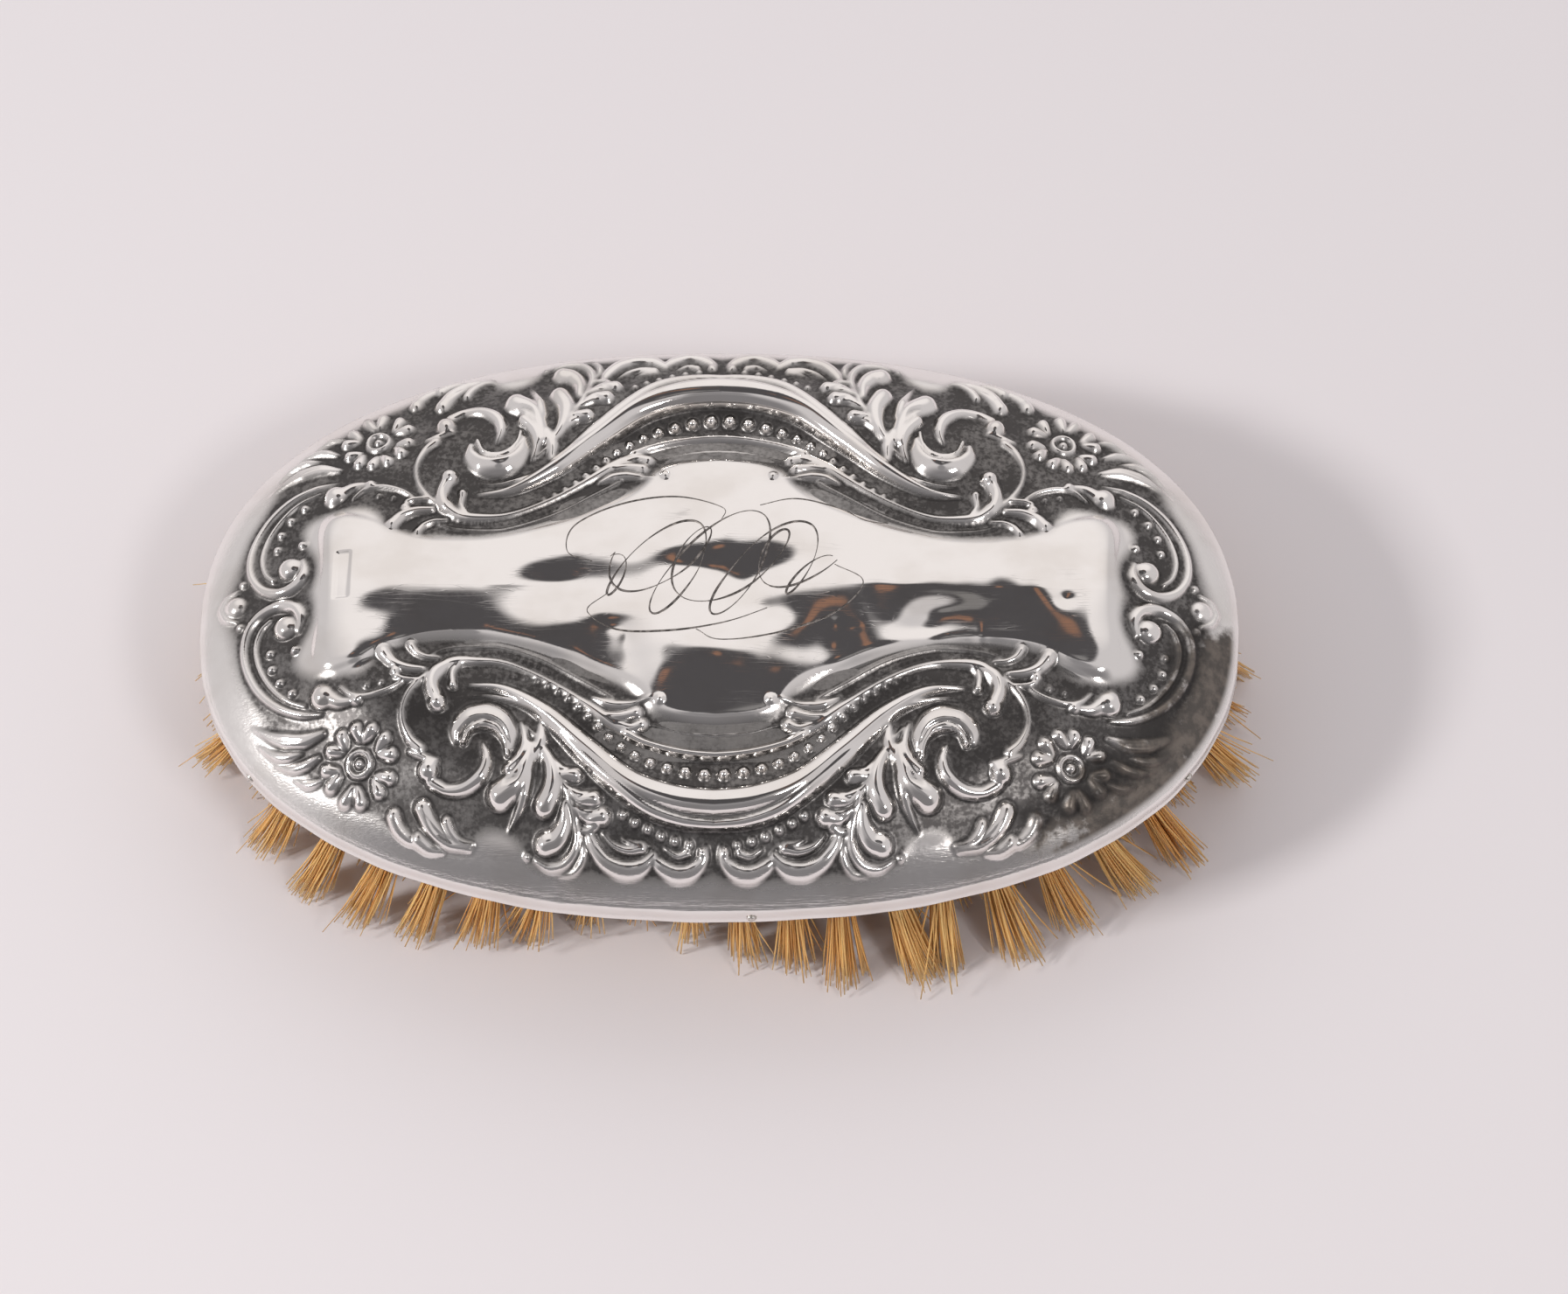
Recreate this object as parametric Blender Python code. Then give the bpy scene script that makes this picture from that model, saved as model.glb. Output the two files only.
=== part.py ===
"""Oval vanity hairbrush with a stamped silver back over a wooden brush block.

The brush stands on its bristle tips: +Z is up, +X runs along the oval, and the origin is
under the middle of the oval at the level of the tips. Lengths below are in millimetres.
"""
import math

import bmesh
import bpy
from mathutils import Matrix, Vector

MM = 0.001

# Outline of the brush: an oval a little squarer than an ellipse.
LENGTH = 126.0
WIDTH = 76.6
SQUARENESS = 2.25
OUTLINE_POINTS = 48

# Heights above the bristle tips.
BOARD_BOTTOM = 15.0
RIM_BOTTOM = 18.0
RIM_TOP = 20.0
BOARD_TOP = 20.2
DOME_TOP = 31.0
DOME_FLATNESS = 8.0

# Sheet silver, and the clearance that every piece keeps to its neighbours.
SILVER_WALL = 0.6
GAP = 0.3

# Brush block: it fills the lower dome, with a shallow pocket over the draw wires.
BLOCK_BOTTOM = BOARD_TOP + GAP
BLOCK_TOP = 24.0
POCKET_DEPTH = 1.6
POCKET_WALL = 1.7

# Tufts: crosswise rows, each drawn into the board by one wire.
ROWS = 20
ROW_PITCH = 5.9
TUFT_PITCH = 6.6
TUFT_FIELD_MARGIN = 5.4
TUFT_ROOT_RADIUS = 1.35
TUFT_TIP_RADIUS = 2.2
TUFT_SIDES = 6
TUFT_ROOT_TOP = 21.6
WIRE_HEIGHT = 21.0
WIRE_SIZE = 0.6
END_SPLAY = 7.5
SIDE_SPLAY = 3.0

# Pins through the silver's side wall into the edge of the board.
PIN_ANGLES = (-86.0, -30.0, 33.0, 92.0, 150.0, 211.0)
PIN_HEIGHT = 19.1
PIN_RADIUS = 0.4
PIN_LENGTH = 2.4
PIN_CROWN = 0.15

HALF_LENGTH = LENGTH / 2
HALF_WIDTH = WIDTH / 2
FIELD_HALF_LENGTH = HALF_LENGTH - TUFT_FIELD_MARGIN
FIELD_HALF_WIDTH = HALF_WIDTH - TUFT_FIELD_MARGIN


def clear_scene():
    for obj in list(bpy.data.objects):
        bpy.data.objects.remove(obj, do_unlink=True)


def make_material(name, colour, roughness, metallic):
    material = bpy.data.materials.new(name)
    material.use_nodes = True
    shader = material.node_tree.nodes["Principled BSDF"]
    shader.inputs["Base Color"].default_value = (*colour, 1.0)
    shader.inputs["Roughness"].default_value = roughness
    shader.inputs["Metallic"].default_value = metallic
    return material


def make_object(name, bm, material, smooth_angle=35.0):
    bmesh.ops.scale(bm, vec=(MM, MM, MM), verts=bm.verts)
    bmesh.ops.recalc_face_normals(bm, faces=bm.faces)
    mesh = bpy.data.meshes.new(name)
    bm.to_mesh(mesh)
    bm.free()
    mesh.materials.append(material)
    mesh.shade_smooth()
    mesh.set_sharp_from_angle(angle=math.radians(smooth_angle))
    obj = bpy.data.objects.new(name, mesh)
    bpy.context.scene.collection.objects.link(obj)
    return obj


def make_cutter(name, bm, material):
    cutter = make_object(name, bm, material)
    cutter.hide_render = True
    cutter.display_type = 'WIRE'
    return cutter


def add_boolean(obj, cutter, operation):
    modifier = obj.modifiers.new(operation.title(), 'BOOLEAN')
    modifier.operation = operation
    modifier.solver = 'EXACT'
    modifier.object = cutter


def oval_reach(angle):
    """How far the unit oval lies from its centre in the direction of angle."""
    along = abs(math.cos(angle)) ** SQUARENESS
    across = abs(math.sin(angle)) ** SQUARENESS
    return (along + across) ** (-1 / SQUARENESS)


def oval_point(half_length, half_width, angle):
    reach = oval_reach(angle)
    return half_length * reach * math.cos(angle), half_width * reach * math.sin(angle)


def oval_half_width_at(half_length, half_width, x):
    share = min(abs(x) / half_length, 1.0)
    return half_width * (1 - share ** SQUARENESS) ** (1 / SQUARENESS)


def oval_share(half_length, half_width, x, y):
    """0 at the centre of the oval, 1 on its outline."""
    along = (abs(x) / half_length) ** SQUARENESS
    across = (abs(y) / half_width) ** SQUARENESS
    return (along + across) ** (1 / SQUARENESS)


def dome_height(share):
    """Height of the silver's outer face, share being 0 at the centre and 1 at the edge."""
    return DOME_TOP - (DOME_TOP - RIM_TOP) * share ** DOME_FLATNESS


def dome_share(height):
    return ((DOME_TOP - height) / (DOME_TOP - RIM_TOP)) ** (1 / DOME_FLATNESS)


def dome_ring(share, inset):
    """One level of the dome as (half length, half width, height), moved inwards by inset."""
    return HALF_LENGTH * share - inset, HALF_WIDTH * share - inset, dome_height(share) - inset


def side_ring(inset, height):
    return HALF_LENGTH - inset, HALF_WIDTH - inset, height


def loft_rings(rings, points=OUTLINE_POINTS):
    """A closed solid through oval rings, capped flat at its first and last ring."""
    bm = bmesh.new()
    loops = []
    for half_length, half_width, height in rings:
        loop = []
        for i in range(points):
            x, y = oval_point(half_length, half_width, 2 * math.pi * i / points)
            loop.append(bm.verts.new((x, y, height)))
        loops.append(loop)
    for lower, upper in zip(loops, loops[1:]):
        for i in range(points):
            j = (i + 1) % points
            bm.faces.new((lower[i], lower[j], upper[j], upper[i]))
    bm.faces.new(loops[0])
    bm.faces.new(loops[-1])
    return bm


def make_silver_back(material):
    """Domed shell, open below: over the outside, round the lower edge and back up inside."""
    shares = (0.2, 0.5, 0.66, 0.77, 0.85, 0.91, 0.95, 0.98)
    edge_round = 0.15
    rings = [dome_ring(share, 0.0) for share in shares]
    rings.append(side_ring(0.0, RIM_TOP - 0.4))
    rings.append(side_ring(0.0, RIM_BOTTOM + edge_round))
    rings.append(side_ring(edge_round, RIM_BOTTOM))
    rings.append(side_ring(SILVER_WALL, RIM_BOTTOM))
    rings.append(side_ring(SILVER_WALL, RIM_TOP - 0.4 - SILVER_WALL))
    rings.extend(dome_ring(share, SILVER_WALL) for share in reversed(shares))
    return make_object("silver_back", loft_rings(rings), material)


def make_pitch_filler(material):
    """Setting cement under the dome, flat where it meets the brush block."""
    bottom = BLOCK_TOP + GAP
    inset = SILVER_WALL + GAP
    edge_share = dome_share(bottom + inset)
    shares = [share * edge_share for share in (0.3, 0.6, 0.78, 0.9, 1.0)]
    rings = [dome_ring(share, inset) for share in shares]
    half_length, half_width, height = rings[-1]
    rings.append((half_length - 1.0, half_width - 1.0, height))
    return make_object("pitch_filler", loft_rings(rings), material)


def make_brush_block(material):
    """Upper wooden block, shaped to the dome, with a pocket that clears the draw wires."""
    inset = SILVER_WALL + GAP
    heights = (BLOCK_TOP, 23.0, 22.0, 21.2, BLOCK_BOTTOM)
    rings = [dome_ring(dome_share(height + inset), inset) for height in heights]
    half_length, half_width, _ = rings[-1]
    pocket = (half_length - POCKET_WALL, half_width - POCKET_WALL)
    rings.append((*pocket, BLOCK_BOTTOM))
    rings.append((*pocket, BLOCK_BOTTOM + POCKET_DEPTH))
    return make_object("brush_block", loft_rings(rings), material)


def add_prism(bm, sections):
    """A closed prism through sections of (x, y, z, radius), TUFT_SIDES to a ring."""
    loops = []
    for x, y, z, radius in sections:
        loop = []
        for i in range(TUFT_SIDES):
            angle = 2 * math.pi * i / TUFT_SIDES
            loop.append(bm.verts.new((x + radius * math.cos(angle), y + radius * math.sin(angle), z)))
        loops.append(loop)
    for lower, upper in zip(loops, loops[1:]):
        for i in range(TUFT_SIDES):
            j = (i + 1) % TUFT_SIDES
            bm.faces.new((lower[i], lower[j], upper[j], upper[i]))
    bm.faces.new(loops[0])
    bm.faces.new(loops[-1])


def row_position(row):
    return (row - (ROWS - 1) / 2) * ROW_PITCH


def tuft_positions(x):
    """Even spacing across the brush, from one side of the tuft field to the other."""
    reach = oval_half_width_at(FIELD_HALF_LENGTH, FIELD_HALF_WIDTH, x)
    gaps = round(2 * reach / TUFT_PITCH)
    return [-reach + 2 * reach * i / gaps for i in range(gaps + 1)]


def tip_position(x, y):
    """Outer tufts lean outwards, most at the two ends."""
    lean = oval_share(FIELD_HALF_LENGTH, FIELD_HALF_WIDTH, x, y) ** 2
    end_lean = END_SPLAY * lean * x / FIELD_HALF_LENGTH
    side_lean = SIDE_SPLAY * lean * y / FIELD_HALF_WIDTH
    return x + end_lean, y + side_lean


def make_bristle_row(name, x, material):
    """One draw wire with every tuft that is folded over it."""
    positions = tuft_positions(x)
    tufts = bmesh.new()
    for y in positions:
        tip_x, tip_y = tip_position(x, y)
        root_end = BOARD_BOTTOM - 0.1
        add_prism(tufts, [
            (x, y, TUFT_ROOT_TOP, TUFT_ROOT_RADIUS),
            (x, y, root_end, TUFT_ROOT_RADIUS),
            (tip_x, tip_y, 0.0, TUFT_TIP_RADIUS),
        ])
    tuft_tool = make_cutter(name + ".tufts", tufts, material)
    wire = bmesh.new()
    length = positions[-1] - positions[0] + 1.2
    place = Matrix.Translation(Vector((x, 0.0, WIRE_HEIGHT)))
    bmesh.ops.create_cube(wire, size=1.0, matrix=place @ Matrix.Diagonal((WIRE_SIZE, length, WIRE_SIZE, 1.0)))
    row = make_object(name, wire, material)
    add_boolean(row, tuft_tool, 'UNION')
    return row


def make_hole_cutter(material):
    bm = bmesh.new()
    radius = TUFT_ROOT_RADIUS + GAP / math.cos(math.pi / TUFT_SIDES)
    for row in range(ROWS):
        x = row_position(row)
        for y in tuft_positions(x):
            add_prism(bm, [(x, y, BOARD_TOP + 1.0, radius), (x, y, BOARD_BOTTOM - 1.0, radius)])
    return make_cutter("tuft_holes.cutter", bm, material)


def pin_frame(angle_degrees):
    """Matrix with its origin on the silver's side wall and its +Z pointing straight out."""
    angle = math.radians(angle_degrees)
    x, y = oval_point(HALF_LENGTH, HALF_WIDTH, angle)
    outwards = Vector((
        math.copysign(abs(x / HALF_LENGTH) ** (SQUARENESS - 1), x) / HALF_LENGTH,
        math.copysign(abs(y / HALF_WIDTH) ** (SQUARENESS - 1), y) / HALF_WIDTH,
        0.0,
    )).normalized()
    return Matrix.Translation(Vector((x, y, PIN_HEIGHT))) @ outwards.to_track_quat('Z', 'Y').to_matrix().to_4x4()


def add_cylinder(bm, radius, low, high, matrix, sides=12):
    depth = high - low
    bmesh.ops.create_cone(bm, cap_ends=True, segments=sides, radius1=radius, radius2=radius,
                          depth=depth, matrix=matrix @ Matrix.Translation(Vector((0, 0, low + depth / 2))))


def make_pin_hole_cutter(material):
    bm = bmesh.new()
    for angle in PIN_ANGLES:
        add_cylinder(bm, PIN_RADIUS + GAP, -PIN_LENGTH - GAP, 1.0, pin_frame(angle))
    return make_cutter("pin_holes.cutter", bm, material)


def make_pin(name, angle, material):
    bm = bmesh.new()
    add_cylinder(bm, PIN_RADIUS, -PIN_LENGTH, PIN_CROWN, pin_frame(angle))
    return make_object(name, bm, material)


def make_bristle_board(material, hole_cutter, pin_cutter):
    """Drilled board that carries the tufts; its lower edge is eased back under the silver."""
    side = SILVER_WALL + GAP
    rings = [
        side_ring(side + 0.9, BOARD_TOP),
        side_ring(side, BOARD_TOP - 1.0),
        side_ring(side, RIM_BOTTOM - 0.4),
        side_ring(side + 0.5, BOARD_BOTTOM + 1.2),
        side_ring(side + 1.4, BOARD_BOTTOM + 0.3),
        side_ring(side + 1.9, BOARD_BOTTOM),
    ]
    board = make_object("bristle_board", loft_rings(rings), material)
    add_boolean(board, hole_cutter, 'DIFFERENCE')
    add_boolean(board, pin_cutter, 'DIFFERENCE')
    return board


def build():
    clear_scene()
    silver = make_material("silver", (0.78, 0.76, 0.74), 0.22, 1.0)
    pitch = make_material("pitch", (0.06, 0.035, 0.02), 0.6, 0.0)
    block_wood = make_material("block_wood", (0.36, 0.2, 0.1), 0.6, 0.0)
    board_wood = make_material("board_wood", (0.45, 0.27, 0.14), 0.5, 0.0)
    bristle = make_material("bristle", (0.68, 0.42, 0.14), 0.5, 0.0)
    pin_metal = make_material("pin_metal", (0.7, 0.68, 0.64), 0.3, 1.0)

    hole_cutter = make_hole_cutter(board_wood)
    pin_cutter = make_pin_hole_cutter(pin_metal)
    back = make_silver_back(silver)
    add_boolean(back, pin_cutter, 'DIFFERENCE')
    make_pitch_filler(pitch)
    make_brush_block(block_wood)
    make_bristle_board(board_wood, hole_cutter, pin_cutter)
    for row in range(ROWS):
        make_bristle_row(f"bristle_row_{row + 1:02d}", row_position(row), bristle)
    for number, angle in enumerate(PIN_ANGLES, start=1):
        make_pin(f"rim_pin_{number}", angle, pin_metal)


build()
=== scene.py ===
"""Looks of the oval vanity hairbrush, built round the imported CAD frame.

Lengths are in millimetres in the frame's own axes, and become metres when a mesh is made.
The silver's stamped ornament is a relief drawn once for a quarter of the oval, because the die
is symmetrical about both axes. The tufts grow out of the roots that the CAD rows give.
"""

import math

import bpy
import numpy as np
from mathutils import Matrix, Vector


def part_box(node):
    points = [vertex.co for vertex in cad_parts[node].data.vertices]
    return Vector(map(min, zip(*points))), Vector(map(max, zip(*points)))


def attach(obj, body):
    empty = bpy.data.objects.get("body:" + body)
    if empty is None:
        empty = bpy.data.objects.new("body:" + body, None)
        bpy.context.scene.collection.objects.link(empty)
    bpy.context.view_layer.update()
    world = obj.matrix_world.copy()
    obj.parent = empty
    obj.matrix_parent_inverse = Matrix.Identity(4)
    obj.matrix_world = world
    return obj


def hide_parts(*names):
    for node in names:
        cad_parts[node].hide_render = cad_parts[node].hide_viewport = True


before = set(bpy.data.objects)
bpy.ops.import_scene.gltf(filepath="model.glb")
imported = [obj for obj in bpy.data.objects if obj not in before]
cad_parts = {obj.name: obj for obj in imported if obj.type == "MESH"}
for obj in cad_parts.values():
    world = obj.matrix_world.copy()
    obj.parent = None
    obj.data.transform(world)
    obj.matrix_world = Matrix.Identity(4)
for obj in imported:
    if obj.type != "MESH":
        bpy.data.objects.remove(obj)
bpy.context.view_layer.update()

MM = 0.001
SEED = 1904


def node_box(name):
    low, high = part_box(name)
    return Vector(low) / MM, Vector(high) / MM


BACK_LOW, BACK_HIGH = node_box("silver_back")
BOARD_BOTTOM = node_box("bristle_board")[0].z
PITCH_BOTTOM = node_box("pitch_filler")[0].z

# Outline: an oval a little squarer than an ellipse, as in the CAD.
HALF_LENGTH = BACK_HIGH.x
HALF_WIDTH = BACK_HIGH.y
SQUARENESS = 2.25

# Silver: sheet thickness, and the flat-topped profile of the dome as (share of the way out, height).
WALL = 0.32
CROWN = ((0.0, 30.45), (0.3, 30.35), (0.5, 30.05), (0.62, 29.75), (0.7, 29.35), (0.75, 28.8),
         (0.8, 27.7), (0.85, 26.4), (0.9, 25.0), (0.95, 23.1), (0.985, 21.45), (1.0, 20.5))
EDGE_ROUND = 0.35
GRID_ALONG = 600
GRID_ACROSS = 370

# Relief map of one quarter. All ornament but the border is drawn taller, then scaled by ORNAMENT_RISE.
CELL = 0.1
FIELD_SINK = 0.9
ORNAMENT_RISE = 0.6

# Plaque: the width of its sloping edge, its half length, and how it swells in from the long sides.
PLAQUE_EDGE = 1.5
PLAQUE_HALF_LENGTH = 48.3
PLAQUE_DROP = 0.3
PLAQUE_BULGE = 1.25
BULGE_REACH = 12

# Hollow bed of the bead row in the middle of each long side: a bent channel that fades out along X.
BED_DEPTH = 1.3
BED_Y = 22.2
BED_BEND = 0.012
BED_WIDTH = 3.6
BED_REACH = 15

# Blank punch at the left end of the plaque.
PUNCH_CENTRE = (-44.9, 1.6)
PUNCH_HALF_SIZE = (1.0, 3.4)
PUNCH_EDGE = 0.3
PUNCH_DEPTH = 0.25

SMALL_DENTS = 70

# Half width of the engraving where the tool is lifted.
HAIRLINE = 0.045

# Tarnish at the right of the near rim: the degrees over which it comes and goes, and its share inwards.
STAIN_COMES = (-62, -44)
STAIN_GOES = (6, -10)
STAIN_SHARE = (0.79, 0.92)

# Cement: points round it, its gap to the silver, and its rings as shares of the way out.
PITCH_SIDES = 120
PITCH_GAP = 0.12
PITCH_SHARES = (0.895, 0.88, 0.84, 0.8, 0.74, 0.66, 0.57, 0.48, 0.38, 0.27, 0.15, 0.05)

# Tufts. TUFT_GAP parts one tuft's ring of points from the next across the brush. ROOT_SPREAD and
# TUFT_SPREAD are how far a tuft's bristles reach at the board and, along X and Y, at the tips.
TUFT_GAP = 2.3
BRISTLES_PER_TUFT = 78
ROOT_SPREAD = 1.12
TUFT_SPREAD = np.array((2.4, 1.7))
BRISTLE_RADIUS = 0.125
BRISTLE_SIDES = 3
BRISTLE_LEVELS = np.array((0.0, 0.25, 0.5, 0.75, 1.0))
BRISTLE_TAPER = np.array((1, 1, 1, 0.95, 0.88, 0.7))
STRAY_SHARE = 0.12

# The near tufts splay outwards, except round WORN_AT on X: there use has bent them inwards by
# WORN_SHIFT and taken a share of them away.
FRONT_SPLAY = 3.6
WORN_SHIFT = 5.4
WORN_AT = -11.0
WORN_REACH = 18.0
WORN_AWAY = 0.4

# Studio: the sky's strength, its colour, and the round patches on it, one laid over the other, as
# (towards, degrees to which it is solid, degrees at which it has gone, colour).
WORLD_STRENGTH = 0.72
SKY_COLOUR = (0.86, 0.83, 0.84)
SKY_PATCHES = (((0, 1, 0.9), 20, 48, (1.25, 1.2, 1.19)),
               ((0, -1, 0.35), 30, 62, (0.30, 0.29, 0.30)),
               ((0, -0.4, 1), 7, 14, (0.36, 0.35, 0.36)),
               ((0, 0.12, 1), 15, 20, (0.11, 0.105, 0.11)),
               ((0.1, 0.0, 1), 3, 6, (0.32, 0.31, 0.31)),
               ((0.06, 0.3, 1.0), 1, 3, (0.40, 0.22, 0.15)),
               ((-0.22, 0.18, 1.0), 1, 3, (0.38, 0.21, 0.15)))
LIGHT_DISTANCE = 1.3
LIGHT_TARGET = Vector((0, 0, 0.02))
KEY_POWER = 8.2
FILL_POWER = 3.0
FLOOR_HALF = 3000.0
FLOOR_HEIGHT = -0.02

# Camera: its bearing, tilt and roll, and how far the brush lies off the picture's centre.
VIEW_TARGET = Vector((0, 0, 28))
VIEW_AZIMUTH = 1.22
VIEW_ELEVATION = 62.5
VIEW_ROLL = -0.83
VIEW_DISTANCE = 510.5
TARGET_RIGHT = -7.95
TARGET_UP = 6.26
LENS = 97.9


# ---- shapes shared by several pieces

def oval_reach(angle):
    along = np.abs(np.cos(angle)) ** SQUARENESS
    across = np.abs(np.sin(angle)) ** SQUARENESS
    return (along + across) ** (-1 / SQUARENESS)


def oval_share(x, y):
    """0 at the centre of the oval, 1 on its outline."""
    along = (np.abs(x) / HALF_LENGTH) ** SQUARENESS
    across = (np.abs(y) / HALF_WIDTH) ** SQUARENESS
    return (along + across) ** (1 / SQUARENESS)


def oval_outline(angle):
    """Points of the silver's outline in plan."""
    reach = oval_reach(angle)
    return np.stack((HALF_LENGTH * reach * np.cos(angle), HALF_WIDTH * reach * np.sin(angle)), axis=1)


def oval_normal(x, y):
    """Outward directions, in plan, on the oval that passes through each point."""
    slopes = [np.sign(value) * np.abs(value / half) ** (SQUARENESS - 1) / half
              for value, half in ((x, HALF_LENGTH), (y, HALF_WIDTH))]
    normal = np.stack(slopes, axis=-1)
    return normal / np.linalg.norm(normal, axis=-1, keepdims=True)


def smoothstep(low, high, value):
    t = np.clip((value - low) / (high - low), 0.0, 1.0)
    return t * t * (3 - 2 * t)


def monotone_curve(knots, value):
    """Cubic curve through the knots that never overshoots them."""
    x, y = np.array(knots, float).T
    step = np.diff(x)
    slope = np.diff(y) / step
    tangent = np.zeros_like(x)
    same_sign = slope[:-1] * slope[1:] > 0
    mean = 2 * slope[:-1] * slope[1:] / np.where(same_sign, slope[:-1] + slope[1:], 1.0)
    tangent[1:-1] = np.where(same_sign, mean, 0.0)
    tangent[-1] = slope[-1]
    value = np.clip(value, x[0], x[-1])
    i = np.clip(np.searchsorted(x, value, side="right") - 1, 0, len(step) - 1)
    t = (value - x[i]) / step[i]
    rise = y[i] * (1 + 2 * t) * (1 - t) ** 2 + y[i + 1] * t * t * (3 - 2 * t)
    return rise + step[i] * (tangent[i] * t * (1 - t) ** 2 - tangent[i + 1] * t * t * (1 - t))


def make_mesh(name, points, faces, material, attributes=None, smooth=True):
    """A mesh object from points in millimetres, with float attributes on its points."""
    mesh = bpy.data.meshes.new(name)
    faces = [np.asarray(block, np.int32) for block in faces]
    points = np.asarray(points, np.float32)
    mesh.vertices.add(len(points))
    mesh.vertices.foreach_set("co", (points * MM).ravel())
    corners = np.concatenate([block.ravel() for block in faces])
    sizes = np.concatenate([np.full(len(block), block.shape[1], np.int32) for block in faces])
    starts = np.concatenate(([0], np.cumsum(sizes)[:-1])).astype(np.int32)
    mesh.loops.add(len(corners))
    mesh.loops.foreach_set("vertex_index", corners)
    mesh.polygons.add(len(sizes))
    mesh.polygons.foreach_set("loop_start", starts)
    mesh.update(calc_edges=True)
    mesh.validate()
    for key, values in (attributes or {}).items():
        layer = mesh.attributes.new(key, 'FLOAT', 'POINT')
        layer.data.foreach_set("value", np.asarray(values, np.float32))
    if smooth:
        mesh.shade_smooth()
    mesh.materials.append(material)
    obj = bpy.data.objects.new(name, mesh)
    bpy.context.scene.collection.objects.link(obj)
    return obj


def number_loops(start, count, size):
    """Point numbers of count loops of size points each, from start on."""
    return [np.arange(start + i * size, start + (i + 1) * size) for i in range(count)]


def ring_faces(loops):
    """Quads between consecutive loops of point numbers, outward for loops that go up or inwards."""
    faces = []
    for lower, upper in zip(loops, loops[1:]):
        faces.append(np.stack((lower, np.roll(lower, -1), np.roll(upper, -1), upper), axis=1))
    return np.concatenate(faces)


# ---- relief of the stamped silver

class Relief:
    """Height map of one quarter of the oval. Ornament is raised with round stamps."""

    def __init__(self):
        xs = np.arange(-1.0, HALF_LENGTH + 1.0, CELL)
        ys = np.arange(-1.0, HALF_WIDTH + 1.0, CELL)
        self.low = np.array((xs[0], ys[0]))
        self.x, self.y = np.meshgrid(xs, ys, indexing="ij")
        self.raised = np.zeros_like(self.x)
        self.cut = np.zeros_like(self.x)

    def stamp(self, x, y, radius, height, power=1.0, flat=1.0, layer=None, lean=(0.0, 0.0)):
        """A round bump. lean is how fast its top rises along X and along Y."""
        layer = self.raised if layer is None else layer
        first = np.maximum(np.floor((np.array((x, y)) - radius - self.low) / CELL).astype(int), 0)
        last = np.maximum(np.ceil((np.array((x, y)) + radius - self.low) / CELL).astype(int) + 1, 0)
        window = (slice(first[0], last[0]), slice(first[1], last[1]))
        off_x, off_y = self.x[window] - x, self.y[window] - y
        share = (off_x ** 2 + off_y ** 2) / radius ** 2
        top = height + lean[0] * off_x + lean[1] * off_y
        bump = top * np.clip(1 - share ** flat, 0.0, 1.0) ** power
        np.maximum(layer[window], bump, out=layer[window])

    def ridge(self, points, widths, height, power=1.0, flat=1.0, layer=None, tilt=0.0):
        """A rounded ridge along a smooth line, lower where it is narrower, rising to its left by tilt."""
        line, along = smooth_path(points)
        width = np.interp(along, np.linspace(0, 1, len(widths)), widths)
        crest = height * (width / max(widths)) ** 0.8
        run = np.gradient(line, axis=0)
        run /= np.linalg.norm(run, axis=1)[:, None]
        for (x, y), radius, top, (run_x, run_y) in zip(line, width, crest, run):
            self.stamp(x, y, radius, top, power, flat, layer, (-tilt * run_y, tilt * run_x))

    def ball(self, x, y, radius, height):
        self.stamp(x, y, radius, height, power=0.6)

    def carve(self, points, widths, depth):
        """A furrow in whatever ornament lies under the line."""
        self.ridge(points, widths, depth, layer=self.cut)

    def leaf(self, points, root, tip, height):
        """A plump lobe that swells from its root to just short of its rounded tip."""
        self.ridge(points, (root, 0.55 * root + 0.45 * tip, 0.9 * tip, tip), height, power=0.9)

    def blade(self, points, root, middle, height, vein=0.0):
        """A pointed leaf, widest past its middle."""
        self.ridge(points, (root, middle, middle, 0.55 * middle, 0.15), height, power=0.9)
        if vein:
            self.carve(points, (0.08, 0.3 * middle, 0.1), vein)

    def beads(self, points, pitch, radii, height):
        """Beads along a line, spaced in proportion to their size."""
        line, along = smooth_path(points)
        length = np.hypot(*np.diff(line, axis=0).T).sum()
        place = 0.0
        while place <= length:
            share = place / length
            radius = np.interp(share, (0, 1), radii)
            x = np.interp(share, along, line[:, 0])
            y = np.interp(share, along, line[:, 1])
            self.ball(x, y, radius, height * radius / radii[0])
            place += pitch * (0.35 + 0.65 * radius / radii[0])


def smooth_path(points, step=0.1):
    """Evenly spaced points of a Catmull-Rom curve, and how far along each lies, from 0 to 1."""
    knots = np.array(points, float)
    knots = np.vstack((2 * knots[0] - knots[1], knots, 2 * knots[-1] - knots[-2]))
    pieces = []
    for before, start, end, after in zip(knots, knots[1:], knots[2:], knots[3:]):
        t = np.arange(0, 1, step / max(np.hypot(*(end - start)), step))[:, None]
        pieces.append(0.5 * (2 * start + (end - before) * t
                             + (2 * before - 5 * start + 4 * end - after) * t ** 2
                             + (3 * start - before - 3 * end + after) * t ** 3))
    pieces.append(knots[-2:-1])
    line = np.vstack(pieces)
    along = np.concatenate(([0.0], np.cumsum(np.hypot(*np.diff(line, axis=0).T))))
    return line, along / along[-1]


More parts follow.
